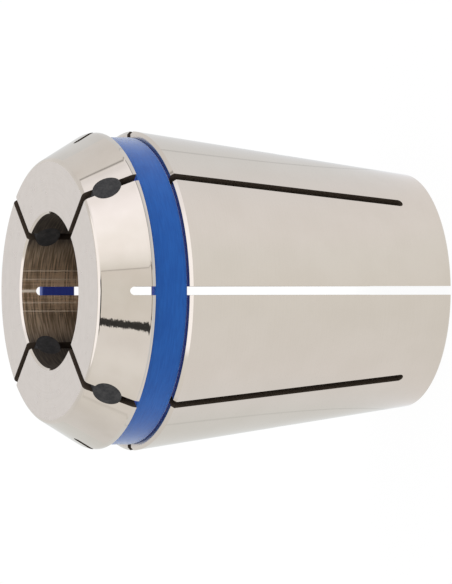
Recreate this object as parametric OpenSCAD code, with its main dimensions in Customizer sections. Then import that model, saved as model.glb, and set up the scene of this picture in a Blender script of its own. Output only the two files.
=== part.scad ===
// Spring collet of size 32 with a 16 mm bore: a steel sleeve slit from both ends,
// rubber plugs that seal the slots of its nose, and a coloured ring in its groove.
// The rear face lies on Z = 0 and the nose points along +Z. All sizes are in millimetres.

/* [Sleeve] */
// Length from the rear face to the front face
sleeve_len = 40; // [34:0.5:50]
// Largest diameter, at the front end of the rear taper
taper_d = 33; // [31:0.5:36]
// Half angle of the rear taper, in degrees
taper_angle = 8; // [6:0.5:9]
// Chamfer from the rear taper into the groove
shoulder = 0.3; // [0.2:0.05:0.7]
// Chamfer round the outside of the rear face
rear_edge = 0.1; // [0.05:0.05:0.4]

/* [Nose] */
// Diameter of the crest, where the nose meets the groove
crest_d = 32.7; // [31.6:0.1:33.4]
// Half angle of the nose cone, in degrees
nose_angle = 30; // [25:1:35]
// Length of the nose cone along the axis, up to the crest
nose_len = 4.8; // [3.8:0.05:5.8]
// Width of the crest, between the cone and the groove
crest_w = 0.35; // [0.3:0.05:0.8]
// Radius that blends the cone into the crest
crest_blend = 1.1; // [0.5:0.1:2]
// Radius round the edge of the front face
face_edge = 0.6; // [0.2:0.05:0.9]

/* [Groove and ring] */
// Width of the groove
groove_w = 3.8; // [3:0.05:5]
// Diameter of the groove's floor
groove_d = 29.4; // [28.4:0.1:30]
// Wall of the ring
ring_wall = 1.1; // [0.8:0.05:1.4]
// Gap between the ring and each side of the groove
ring_side_gap = 0.1; // [0.05:0.01:0.2]
// Gap between the ring and the floor of the groove
ring_floor_gap = 0.08; // [0.02:0.01:0.2]
// Radius along the ring's edges
ring_edge = 0.2; // [0.05:0.01:0.3]

/* [Bore] */
// Diameter of the bore, which grips the shank
bore_d = 16; // [6:0.5:18]
// Chamfer at the front mouth of the bore
bore_front_edge = 0.2; // [0.1:0.05:0.5]
// Chamfer at the rear mouth of the bore
bore_rear_edge = 0.3; // [0.1:0.05:0.6]

/* [Slots] */
// Width of the slots that open at the rear face
rear_slot_w = 0.9; // [0.7:0.05:1.2]
// Metal between the ends of those slots and the front face, at the bore
rear_slot_web = 1.8; // [1.2:0.1:2.4]
// Width of the slots that open at the front face
front_slot_w = 0.9; // [0.7:0.05:1.2]
// Metal between the ends of these slots and the rear face, at the bore
front_slot_web = 4.75; // [4:0.25:7]

/* [Plugs] */
// Diameter of the plugs
plug_d = 2.6; // [2:0.1:3.2]
// Distance from the front face to the plugs' centre lines
plug_inset = 2.2; // [1.9:0.1:2.8]
// Gap between a plug and its hole
plug_gap = 0.02; // [0.01:0.01:0.05]

/* [Hidden] */
slots_per_end = 4;
plug_names = [for (i = [1 : slots_per_end]) str("seal_plug_", i)];
$fn = 240;

blend_steps = 8;
edge_steps = 6;
ring_steps = 3;
past = 1;

taper_r = taper_d / 2;
crest_r = crest_d / 2;
groove_r = groove_d / 2;
bore_r = bore_d / 2;

// Heights above the rear face
crest_top_z = sleeve_len - nose_len;
groove_top_z = crest_top_z - crest_w;
groove_bottom_z = groove_top_z - groove_w;
taper_top_z = groove_bottom_z - shoulder;
plug_z = sleeve_len - plug_inset;

rear_r = taper_r - taper_top_z * tan(taper_angle);
face_r = crest_r - nose_len * tan(nose_angle);
crest_blend_r = min(crest_blend, crest_w / tan(nose_angle / 2));
crest_tangent = crest_blend_r * tan(nose_angle / 2);
face_tangent = face_edge * tan((90 - nose_angle) / 2);

// The slots of the two ends alternate round the sleeve, and the plugs sit on the front ones
slot_step = 360 / slots_per_end;
rear_slots = [for (i = [0 : slots_per_end - 1]) i * slot_step];
front_slots = [for (angle = rear_slots) angle + slot_step / 2];

// Points along an arc, from one angle to another
function arc(centre, r, from, to, steps) = [
    for (i = [0 : steps])
        let (a = from + (to - from) * i / steps)
            centre + r * [cos(a), sin(a)]
];

// Half section of the sleeve without its bore, from the rear face up to the front face
sleeve_section = concat(
    [[0, 0], [rear_r - rear_edge, 0], [rear_r + rear_edge * tan(taper_angle), rear_edge]],
    [[taper_r, taper_top_z], [taper_r - shoulder, groove_bottom_z]],
    [[groove_r, groove_bottom_z], [groove_r, groove_top_z], [crest_r, groove_top_z]],
    arc([crest_r - crest_blend_r, crest_top_z - crest_tangent], crest_blend_r,
        0, nose_angle, blend_steps),
    arc([face_r - face_tangent, sleeve_len - face_edge], face_edge,
        nose_angle, 90, edge_steps),
    [[0, sleeve_len]]
);

module bore() {
    translate([0, 0, -past])
        cylinder(r = bore_r, h = sleeve_len + 2 * past);
    translate([0, 0, -past])
        cylinder(r1 = bore_r + bore_rear_edge + past, r2 = bore_r, h = bore_rear_edge + past);
    translate([0, 0, sleeve_len - bore_front_edge])
        cylinder(r1 = bore_r, r2 = bore_r + bore_front_edge + past, h = bore_front_edge + past);
}

// The turned sleeve before it is slit
module sleeve_blank() {
    difference() {
        rotate_extrude() polygon(sleeve_section);
        bore();
    }
}

// A slot through one side of the wall, with a round end that is square to the rear taper.
// The end lies at end_z on the bore, and the slot opens upwards (way 1) or downwards (way -1).
module slot(angle, width, end_z, way) {
    drift = way * sleeve_len * tan(taper_angle) / 2;
    depth = 2 * taper_d;
    length = 2 * sleeve_len;
    rotate([0, 0, angle])
        translate([bore_r, 0, end_z])
            rotate([0, taper_angle, 0])
                translate([-bore_r, 0, way * width / 2]) {
                    rotate([0, 90, 0])
                        cylinder(d = width, h = depth, $fn = 48);
                    translate([-drift, -width / 2, way > 0 ? 0 : -length])
                        cube([depth, width, length]);
                }
}

// A radial rod through the wall of the nose, on the middle of a front slot
module plug_rod(angle, diameter) {
    translate([0, 0, plug_z])
        rotate([0, 90, angle])
            cylinder(d = diameter, h = taper_r, $fn = 96);
}

module collet_body() {
    color("silver")
        difference() {
            sleeve_blank();
            for (angle = rear_slots)
                slot(angle, rear_slot_w, sleeve_len - rear_slot_web, -1);
            for (angle = front_slots) {
                slot(angle, front_slot_w, front_slot_web, 1);
                plug_rod(angle, plug_d + 2 * plug_gap);
            }
        }
}

// A closed hoop, midway between the sides of the groove
module groove_ring() {
    inner = groove_r + ring_floor_gap;
    outer = inner + ring_wall;
    low = groove_bottom_z + ring_side_gap;
    high = groove_top_z - ring_side_gap;
    color("royalblue")
        rotate_extrude()
            polygon(concat(
                arc([inner + ring_edge, low + ring_edge], ring_edge, 180, 270, ring_steps),
                arc([outer - ring_edge, low + ring_edge], ring_edge, 270, 360, ring_steps),
                arc([outer - ring_edge, high - ring_edge], ring_edge, 0, 90, ring_steps),
                arc([inner + ring_edge, high - ring_edge], ring_edge, 90, 180, ring_steps)
            ));
}

// Rubber that fills its hole, flush with the nose outside and with the bore inside
module seal_plug(angle) {
    color("dimgray")
        intersection() {
            plug_rod(angle, plug_d);
            sleeve_blank();
        }
}

collet_body();
groove_ring();
for (i = [0 : slots_per_end - 1])
    seal_plug(front_slots[i]);
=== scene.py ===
"""A spring collet with a coloured ring and sealed slots, standing on its rear face, nose up."""
import math

import bmesh
import bpy
from mathutils import Matrix, Vector


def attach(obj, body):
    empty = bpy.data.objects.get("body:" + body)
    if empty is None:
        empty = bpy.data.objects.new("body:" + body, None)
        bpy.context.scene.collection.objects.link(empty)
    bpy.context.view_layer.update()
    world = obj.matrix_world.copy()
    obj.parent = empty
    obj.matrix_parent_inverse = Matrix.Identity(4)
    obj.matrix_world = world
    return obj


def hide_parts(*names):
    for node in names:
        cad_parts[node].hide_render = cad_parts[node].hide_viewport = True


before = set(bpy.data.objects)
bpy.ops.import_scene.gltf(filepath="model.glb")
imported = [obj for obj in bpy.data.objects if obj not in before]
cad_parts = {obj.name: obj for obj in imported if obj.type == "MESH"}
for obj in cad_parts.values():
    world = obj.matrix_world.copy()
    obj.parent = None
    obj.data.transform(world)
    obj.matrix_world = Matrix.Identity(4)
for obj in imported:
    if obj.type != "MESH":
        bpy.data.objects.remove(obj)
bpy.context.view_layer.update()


# The sleeve: one turned, hardened and ground piece of steel, slit from both ends so that it can
# close on a shank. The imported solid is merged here, each surface gets the shading of a true cone
# or cylinder, and each of its finishes has a material of its own.
class Signal:
    """An output of a shader node. Arithmetic on signals adds Math nodes to their tree."""

    def __init__(self, tree, socket=None):
        self.tree = tree
        self.socket = socket

    def node(self, kind, settings, values, output=0):
        """Adds a node of any kind: its settings first, then the values or links of its sockets."""
        made = self.tree.nodes.new("ShaderNode" + kind)
        for name, value in settings.items():
            if name == "stops":
                ramp = made.color_ramp
                while len(ramp.elements) < len(value):
                    ramp.elements.new(1)
                for stop, (place, colour) in zip(ramp.elements, value):
                    stop.position, stop.color = place, (*colour, 1)
            else:
                setattr(made, name, value)
        for name, value in values.items():
            if isinstance(value, Signal):
                self.tree.links.new(value.socket, made.inputs[name])
            else:
                made.inputs[name].default_value = value
        return Signal(self.tree, made.outputs[output] if len(made.outputs) else None)

    def other(self, name):
        """Another output of the same node."""
        return Signal(self.tree, self.socket.node.outputs[name])

    def maths(self, operation, *values):
        return self.node("Math", {"operation": operation}, dict(enumerate(values)))

    def __add__(self, value):
        return self.maths("ADD", self, value)

    def __sub__(self, value):
        return self.maths("SUBTRACT", self, value)

    def __rsub__(self, value):
        return self.maths("SUBTRACT", value, self)

    def __mul__(self, value):
        return self.maths("MULTIPLY", self, value)

    __radd__ = __add__
    __rmul__ = __mul__

    def rise(self, start, end):
        """0 up to start, 1 from end, and a smooth step between them."""
        span = {"Value": self, "From Min": start, "From Max": end}
        return self.node("MapRange", {"interpolation_type": "SMOOTHSTEP"}, span)

    def band(self, start, end, soft):
        """1 between start and end, 0 outside, over a soft edge on each side."""
        return self.rise(start - soft, start) * (1 - self.rise(end, end + soft))

    def noise(self, scale, detail=2.0, where="Vector"):
        """Noise over a vector, or along one number if where is W."""
        size = "1D" if where == "W" else "3D"
        values = {where: self, "Scale": scale, "Detail": detail}
        return self.node("TexNoise", {"noise_dimensions": size}, values)

    def blend(self, first, second):
        """The first colour where this signal is 0, the second where it is 1."""
        return self.node("Mix", {"data_type": "RGBA"}, {0: self, 6: first, 7: second}, 2)


def finish(name):
    """A new material, its tree, and the place of a point: vector, radius, angle and height in mm."""
    material = bpy.data.materials.new(name)
    material.use_nodes = True
    material.node_tree.nodes.clear()
    tree = Signal(material.node_tree)
    place = tree.node("TexCoord", {}, {}, "Object")
    place = tree.node("VectorMath", {"operation": "SCALE"}, {0: place, "Scale": 1000.0})
    x = tree.node("SeparateXYZ", {}, {0: place})
    y, height = x.other("Y"), x.other("Z")
    radius = tree.maths("SQRT", x * x + y * y)
    angle = tree.maths("ARCTAN2", y, x)
    return material, tree, place, radius, angle, height


def surface(tree, **sockets):
    """The shader and the output: sockets by name, with _ for a space."""
    values = {name.replace("_", " "): value for name, value in sockets.items()}
    shader = tree.node("BsdfPrincipled", {}, values)
    tree.node("OutputMaterial", {}, {"Surface": shader})


def bump(tree, height, depth):
    """The normal that a height of 0 to 1 gives, at a depth in mm."""
    return tree.node("Bump", {}, {"Height": height, "Distance": depth / 1000, "Strength": 1.0})


def around(tree, radius, angle, height, fine=9.0):
    """A vector that runs round the axis with no seam, and is finer along it and out from it."""
    x = tree.maths("COSINE", angle) * 12.0
    y = tree.maths("SINE", angle) * 12.0
    return tree.node("CombineXYZ", {}, {"X": x, "Y": y, "Z": (height - radius) * fine})


# Ground taper: a mirror with soft clouds, and lines left by the wheel
taper_steel, tree, place, radius, angle, height = finish("ground_taper")
clouds = place.noise(0.22, 3.0)
lines = height.noise(9.0, 2.0, "W")
wheel = around(tree, radius, angle, height).noise(0.5, 2.0)
tone = (clouds * 0.7 + lines * 0.3).rise(0.35, 0.65)
surface(
    tree,
    Base_Color=tone.blend((0.65, 0.596, 0.527, 1), (0.672, 0.618, 0.551, 1)),
    Metallic=1.0,
    Roughness=0.03 + clouds * 0.04,
    Normal=bump(tree, wheel, 0.0002),
)

# Nose cone: polished, with one patch where the cloth left short strokes
nose_steel, tree, place, radius, angle, height = finish("polished_nose")
clouds = place.noise(0.35, 2.0)
marks = around(tree, radius, angle, height).noise(0.3, 2.0)
strokes = around(tree, radius, angle, height, 2.1).noise(1.25, 2.0)
rubbed = 1 - tree.maths("ABSOLUTE", angle + math.radians(104.5)).rise(0.06, 0.12)
surface(
    tree,
    Base_Color=clouds.rise(0.3, 0.7).blend((0.65, 0.595, 0.525, 1), (0.68, 0.627, 0.56, 1)),
    Metallic=1.0,
    Roughness=0.03 + clouds * 0.02,
    Normal=bump(tree, marks * 0.015 + strokes * rubbed, 0.009),
)

# Faces: lapped to a satin, with faint circles round the axis
face_steel, tree, place, radius, angle, height = finish("satin_face")
circles = radius.noise(5.0, 3.0, "W")
mottle = place.noise(0.9, 4.0)
tone = (circles * 0.4 + mottle * 0.6).rise(0.35, 0.65)
surface(
    tree,
    Base_Color=tone.blend((0.676, 0.625, 0.577, 1), (0.712, 0.66, 0.613, 1)),
    Metallic=1.0,
    Roughness=0.24 + mottle * 0.1,
    Normal=bump(tree, circles * 0.5 + mottle * 0.5, 0.003),
)

# Bore: honed brown with scratches round it, painted lighter beside the slots of the rear end, with
# painted glints in lines along it beside those slots, and with painted shade on two sides, past the
# plugs, where it is also duller and less metallic
bore_steel, tree, place, radius, angle, height = finish("honed_bore")
scratches = around(tree, radius, angle, height, 20.0).noise(0.3, 5.0)
bearing = angle * (180 / math.pi)
slot_spacing = 45.0
aside = tree.maths("PINGPONG", bearing, slot_spacing)
# Painted glints: pale lines at these bearings from each slot, reflections of the light through the
# slots painted into the colour
painted_glint_places = [(0.0, 1.0), (0.9, 1.0), (1.2, 0.0), (7.8, 0.0), (8.7, 0.45), (9.6, 0.0)]
painted_glint_places += [(14.2, 0.0), (15.2, 0.45), (16.2, 0.0)]
painted_glint_stops = [(degrees / slot_spacing, (light,) * 3) for degrees, light in painted_glint_places]
painted_glint = tree.node("ValToRGB", {"stops": painted_glint_stops}, {0: aside * (1 / slot_spacing)})
drawing = (aside.noise(0.9, 3.0, "W") - 0.5) * (1 - aside.rise(12, 20))
# Painted light: the tone rises beside the slots, below the mouth
painted_light_beside = (1 - aside.rise(12, 17)) * (1 - height.rise(35.5, 39.5))
tone = (scratches + drawing * 0.5 + painted_light_beside * 0.12).rise(0.36, 0.68)
# Painted shade: the walls on two sides past the plugs turn dark, duller and less metallic
painted_shade = tree.maths("PINGPONG", bearing - 90.0, 90.0).rise(16, 46)
honed = tone.blend((0.43, 0.308, 0.196, 1), (1.0, 0.765, 0.54, 1))
honed = painted_glint.blend(honed, (1.0, 0.89, 0.74, 1))
painted_shade_colour = tone.blend((0.03, 0.025, 0.02, 1), (0.10, 0.082, 0.064, 1))
surface(
    tree,
    Base_Color=painted_shade.blend(honed, painted_shade_colour),
    Metallic=0.8 - painted_shade * 0.5 - painted_glint * 0.7,
    Roughness=0.3 + scratches * 0.13 + painted_shade * 0.2,
    Normal=bump(tree, scratches, 0.003),
)

# Groove: turned bright
groove_steel, tree, place, radius, angle, height = finish("turned_groove")
feed = (radius + height).noise(8.0, 2.0, "W")
surface(
    tree,
    Base_Color=feed.rise(0.3, 0.7).blend((0.58, 0.53, 0.49, 1), (0.68, 0.63, 0.57, 1)),
    Metallic=1.0,
    Roughness=0.14 + feed * 0.1,
    Normal=bump(tree, feed, 0.002),
)

# Slits: dull walls with saw marks across the sleeve, painted dark brown as shade for the depth of the
# narrow slots
slit_steel_painted_shade, tree, place, radius, angle, height = finish("cut_slit_painted_shade")
marks = height.noise(12.0, 2.0, "W")
scale = place.noise(2.5, 3.0)
surface(
    tree,
    Base_Color=(marks * 0.5 + scale * 0.5).blend((0.056, 0.041, 0.029, 1), (0.095, 0.073, 0.054, 1)),
    Metallic=0.0,
    IOR=1.2,
    Roughness=0.8 + marks * 0.1,
    Normal=bump(tree, marks, 0.002),
)


def surfaces_of(mesh_edit, sharp):
    """The faces of each smooth surface: they meet over edges that turn by less than sharp degrees."""
    limit, left = math.radians(sharp), set(mesh_edit.faces)
    while left:
        group, front = [], [left.pop()]
        while front:
            face = front.pop()
            group.append(face)
            for edge in face.edges:
                if len(edge.link_faces) == 2 and edge.calc_face_angle(0) < limit:
                    found = [other for other in edge.link_faces if other in left]
                    left.difference_update(found)
                    front += found
        yield group


def outwards(point):
    """The direction straight out from the axis at a point."""
    return Vector((point.x, point.y, 0)).normalized()


steel_finishes = [taper_steel, nose_steel, face_steel, bore_steel, groove_steel, slit_steel_painted_shade]
groove_low, groove_middle, groove_high = 0.031, 0.033, 0.0349
groove_floor = 0.0149


def steel_finish(face, cut):
    """The finish of one face of the sleeve: cut says that a slot or a plug's hole has made it."""
    middle, normal = face.calc_center_median(), face.normal
    radius, height, out = middle.xy.length, middle.z, normal.dot(outwards(middle))
    if cut:
        return slit_steel_painted_shade
    if out < -0.9:
        return bore_steel
    in_groove = groove_low < height < groove_high
    if in_groove and (radius < groove_floor or abs(normal.z) > 0.9):
        return groove_steel
    if abs(normal.z) > 0.99:
        return face_steel
    return nose_steel if height > groove_middle else taper_steel


def dress(node, name, materials, sharp, choose):
    """Puts a merged copy of a node's mesh in its place, with the shading of true turned surfaces.

    Surfaces part over edges that turn by more than sharp degrees, and choose picks the material
    of a face, one of the list."""
    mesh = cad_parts[node].data.copy()
    mesh.name = name
    mesh.materials.clear()
    for material in materials:
        mesh.materials.append(material)
    edit = bmesh.new()
    edit.from_mesh(mesh)
    bmesh.ops.remove_doubles(edit, verts=edit.verts, dist=2e-7)
    bmesh.ops.dissolve_degenerate(edit, edges=edit.edges, dist=1e-7)
    edit.verts.index_update()
    edit.faces.index_update()
    corner_normals = {}
    for group in surfaces_of(edit, sharp):
        across = [abs(face.normal.cross(outwards(face.calc_center_median())).z) for face in group]
        cut, members = max(across) > 0.5, set(group)
        for face in group:
            face.smooth = True
            face.material_index = materials.index(choose(face, cut))
            for corner in face.loops:
                point, lean, total = corner.vert.co, Vector((0, 0)), Vector()
                for near in corner.vert.link_faces:
                    if near in members:
                        area, normal = near.calc_area(), near.normal
                        facing = normal.dot(outwards(near.calc_center_median()))
                        lean += area * Vector((math.copysign(normal.xy.length, facing), normal.z))
                        total += area * normal
                if not cut:
                    total = outwards(point) * lean.x + Vector((0, 0, lean.y))
                corner_normals[face.index, corner.vert.index] = total.normalized()
    edit.to_mesh(mesh)
    edit.free()
    mesh.normals_split_custom_set(
        [
            corner_normals[face.index, mesh.loops[corner].vertex_index]
            for face in mesh.polygons
            for corner in face.loop_indices
        ]
    )
    piece = bpy.data.objects.new(name, mesh)
    bpy.context.collection.objects.link(piece)
    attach(piece, "root")
    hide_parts(node)


dress("collet_body", "slit_sleeve", steel_finishes, 20, steel_finish)


# The ring: a closed hoop of blue plastic, snapped over the crest into the groove. It is satin
# outside with a fine grain round it, and turns pale where it is seen at a slant. Its hidden inside
# and sides have a faint painted glow, a painted light that lifts the shade there.
ring_blue, tree, place, radius, angle, height = finish("blue_ring")
grain = around(tree, radius, angle, height).noise(0.8, 3.0)
patches = place.noise(0.3, 2.0)
tone = (grain * 0.6 + patches * 0.4).rise(0.35, 0.65)
# Painted glow: the inside and sides of the hoop give off a faint blue light
painted_glow = radius.rise(14.8, 15.4).blend((0.012, 0.016, 0.088, 1), (0.026, 0.034, 0.19, 1))
surface(
    tree,
    Base_Color=tone.blend((0.002, 0.081, 0.360, 1), (0.007, 0.107, 0.425, 1)),
    IOR=1.22,
    Coat_Weight=0.4,
    Coat_Roughness=0.35,
    Coat_IOR=1.4,
    Roughness=0.34 + grain * 0.12,
    Sheen_Weight=1.0,
    Sheen_Roughness=0.34,
    Sheen_Tint=(0.88, 0.94, 1.0, 1),
    Emission_Color=radius.rise(15.55, 15.87).blend(painted_glow, (0, 0, 0, 1)),
    Emission_Strength=1.0,
    Normal=bump(tree, grain, 0.006),
)
dress("groove_ring", "blue_hoop", [ring_blue], 35, lambda face, cut: ring_blue)


# The plugs: four round rubber rods, vulcanised into holes across the front slots, and trimmed
# flush with the cone and the bore. They keep coolant from running out through the slots.
rubber, tree, place, radius, angle, height = finish("seal_rubber")
pores = place.noise(3.5, 4.0)
cuts = place.noise(1.1, 2.0)
tone = (pores * 0.5 + cuts * 0.5).rise(0.35, 0.65)
surface(
    tree,
    Base_Color=tone.blend((0.026, 0.026, 0.027, 1), (0.052, 0.051, 0.05, 1)),
    IOR=1.35,
    Roughness=0.6 + pores * 0.2,
    Normal=bump(tree, pores * 0.6 + cuts * 0.4, 0.05),
)
for number in range(1, 5):
    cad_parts[f"seal_plug_{number}"].data.materials[0] = rubber


# The floor: white paper on which the collet stands. It shows white to the camera and keeps a faint
# soft shadow, except behind the collet, where its light paints the shadow out. In the steel's
# reflections it shows painted shade: darker behind the collet and far in front, with two thin
# painted shadow lines. It is clear from below, so that the rear face can be seen.
brightest = 1.5


def tones(*stops):
    """Ramp stops from bearings in degrees and the light there, where brightest becomes 1."""
    return [((degrees + 180) / 360, [part / brightest for part in light]) for degrees, light in stops]


paper = bpy.data.materials.new("white_paper")
paper.use_nodes = True
paper.node_tree.nodes.clear()
tree = Signal(paper.node_tree)
x = tree.node("SeparateXYZ", {}, {0: tree.node("TexCoord", {}, {}, "Object")})
y = x.other("Y")
bearing = tree.maths("ARCTAN2", x, y * -1.0) * (0.5 / math.pi) + 0.5
# Painted shade for the steel's reflections: darker behind the collet, with two thin painted shadow
# lines
painted_paper_shades = tones(
    (-150, (0.79, 0.81, 0.81)),
    (-120, (0.825, 0.845, 0.855)),
    (-107.6, (0.845, 0.865, 0.88)),
    (-107.2, (0.72, 0.74, 0.75)),
    (-106.2, (0.72, 0.74, 0.75)),
    (-105.8, (0.85, 0.87, 0.885)),
    (-90, (0.91, 0.92, 0.95)),
    (-60, (0.945, 0.935, 0.95)),
    (-15, (0.925, 0.92, 0.915)),
    (5, (0.945, 0.94, 0.93)),
    (25, (0.965, 0.965, 0.965)),
    (40, (1.0, 0.99, 1.01)),
    (60, (0.98, 0.97, 0.995)),
    (85, (0.935, 0.94, 0.98)),
    (105, (0.89, 0.91, 0.95)),
    (115.8, (0.85, 0.87, 0.90)),
    (116.2, (0.64, 0.655, 0.68)),
    (117.2, (0.64, 0.655, 0.68)),
    (117.6, (0.845, 0.865, 0.895)),
    (140, (0.80, 0.82, 0.85)),
    (180, (0.77, 0.78, 0.78)),
)
shade = tree.node("ValToRGB", {"stops": painted_paper_shades}, {0: bearing})
# Far in front the paper is painted darker still for the steel's reflections
shade = y.rise(-0.13, -0.06).blend((0.52, 0.54, 0.58, 1), shade)
rays = tree.node("LightPath", {}, {}, "Is Camera Ray")
mirrored = tree.maths("MAXIMUM", rays.other("Is Glossy Ray"), rays.other("Is Transmission Ray"))
paper_white = tree.node("BsdfDiffuse", {}, {"Color": (0.86, 0.86, 0.86, 1)})
plain_white = (1 / brightest, 1 / brightest, 1 / brightest, 1)
shown_as = rays.blend(shade, plain_white)
paper_light = tree.node("Emission", {}, {"Color": shown_as, "Strength": brightest + 0.02})
clear = tree.node("BsdfTransparent", {}, {})
underside = tree.node("NewGeometry", {}, {}, "Backfacing")
# Behind the collet the camera sees the paper's full light, a painted light over its shadow there
seen = rays * (0.95 + 0.05 * y.rise(0.004, 0.02))
share = seen + mirrored * 0.94
shown = tree.node("MixShader", {}, {0: share, 1: paper_white, 2: paper_light})
shown = tree.node("MixShader", {}, {0: underside, 1: shown, 2: clear})
tree.node("OutputMaterial", {}, {"Surface": shown})
floor_mesh = bpy.data.meshes.new("floor")
edit = bmesh.new()
bmesh.ops.create_grid(edit, x_segments=1, y_segments=1, size=4.0)
edit.to_mesh(floor_mesh)
edit.free()
floor_mesh.materials.append(paper)
floor = bpy.data.objects.new("floor", floor_mesh)
bpy.context.collection.objects.link(floor)


# The light: a pale tent with a soft panel on one side and overhead, and with thin seams where its
# walls meet. The polished cone shows the dark frame of the opening for the lens, which is thin
# on the panel's side and wider elsewhere.
world = bpy.data.worlds.new("light_tent")
bpy.context.scene.world = world
world.use_nodes = True
world.node_tree.nodes.clear()
tree = Signal(world.node_tree)
way = tree.node("TexCoord", {}, {}, "Generated")
x = tree.node("SeparateXYZ", {}, {0: way})
y, z = x.other("Y"), x.other("Z")
turn = tree.maths("ARCTAN2", x, y * -1.0) * (180 / math.pi)
lift = tree.maths("ARCSINE", z) * (180 / math.pi)
tent_tones = tones(
    (-150, (0.86, 0.86, 0.87)),
    (-128, (0.83, 0.825, 0.83)),
    (-114, (0.86, 0.85, 0.85)),
    (-103, (0.91, 0.90, 0.89)),
    (-102.4, (0.80, 0.79, 0.78)),
    (-101.0, (0.80, 0.79, 0.78)),
    (-100.4, (0.92, 0.905, 0.90)),
    (-88, (0.92, 0.91, 0.90)),
    (-74, (0.96, 0.95, 0.95)),
    (-60, (1.0, 0.99, 0.99)),
    (-42, (0.96, 0.945, 0.955)),
    (-33, (0.97, 0.955, 0.955)),
    (-24, (0.91, 0.885, 0.865)),
    (0, (0.90, 0.885, 0.86)),
    (17, (0.93, 0.90, 0.88)),
    (21, (1.02, 1.01, 1.0)),
    (27, (1.15, 1.14, 1.15)),
    (36, (1.28, 1.265, 1.30)),
    (48, (1.31, 1.30, 1.34)),
    (66, (1.40, 1.39, 1.48)),
    (75, (1.35, 1.335, 1.43)),
    (83, (1.22, 1.205, 1.27)),
    (98, (1.19, 1.19, 1.26)),
    (104, (1.04, 1.035, 1.09)),
    (107.2, (1.04, 1.025, 1.05)),
    (107.6, (0.36, 0.35, 0.35)),
    (108.3, (0.36, 0.35, 0.35)),
    (108.7, (0.90, 0.89, 0.90)),
    (118, (0.865, 0.85, 0.86)),
    (135, (0.845, 0.84, 0.855)),
    (180, (0.90, 0.90, 0.91)),
)
walls = tree.node("ValToRGB", {"stops": tent_tones}, {0: turn * (1 / 360) + 0.5})
walls = lift.rise(56, 60).blend(walls, (0.94, 0.935, 0.98, 1))
opening_turn, opening_lift = -3.8, 27.5
half_width, half_height, corner = 21.6, 15.5, 5.0
off_turn = tree.maths("ABSOLUTE", turn - opening_turn) - (half_width - corner)
off_lift = tree.maths("ABSOLUTE", lift - opening_lift) - (half_height - corner)
across = tree.maths("MAXIMUM", off_turn, 0.0)
upright = tree.maths("MAXIMUM", off_lift, 0.0)
beyond = tree.maths("SQRT", across * across + upright * upright) - corner
far_side = turn.rise(4, -16)
above = lift.rise(40, 43) * (1 - turn.rise(12, 18))
below = 1 - lift.rise(12, 17)
thin, far_extra, above_extra, below_extra = 0.9, 5.7, 20.0, 4.0
wider = far_side * (1 - below) * far_extra + below * below_extra
width = thin + tree.maths("MAXIMUM", wider, above * above_extra)
soft_edge = 0.3
rim = beyond.rise(-soft_edge, soft_edge) * (1 - (beyond - width).rise(-soft_edge, soft_edge))
wide_part = tree.maths("MAXIMUM", far_side, tree.maths("MAXIMUM", above, below))
rim = rim * (0.35 + 0.6 * wide_part)
horizon = (1 - lift.rise(3.5, 5.5)) * turn.band(16, 104, 3.0)
shade = (1 - rim) * (1 - horizon * 0.6)
rays = tree.node("LightPath", {}, {}, "Is Camera Ray")
strength = (shade * (1 - rays) + rays) * brightest
shown_as = rays.blend(walls, plain_white)
light = tree.node("Background", {}, {"Color": shown_as, "Strength": strength})
tree.node("OutputWorld", {}, {"Surface": light})


# The camera: a long lens on the bench side, a little above the nose, held upright so that the
# collet lies across the picture with its nose to the left.
tilt, roll = math.radians(23.094), math.radians(-0.096)
target, distance = Vector((-0.135, 0.502, 19.941)) / 1000, 0.78445
back = Vector((0, -math.cos(tilt), math.sin(tilt)))
level = Vector((0, -math.sin(tilt), -math.cos(tilt)))
side = Vector((1, 0, 0))
right = level * math.cos(roll) + side * math.sin(roll)
up = side * math.cos(roll) - level * math.sin(roll)
lens = bpy.data.cameras.new("lens")
lens.sensor_width, lens.lens = 36.0, 464.7
lens.clip_start, lens.clip_end = 0.01, 20.0
camera = bpy.data.objects.new("camera", lens)
bpy.context.collection.objects.link(camera)
turned = Matrix((right, up, back)).transposed().to_4x4()
camera.matrix_world = Matrix.Translation(target + back * distance) @ turned
bpy.context.scene.camera = camera
bpy.context.scene.view_settings.view_transform = "Standard"
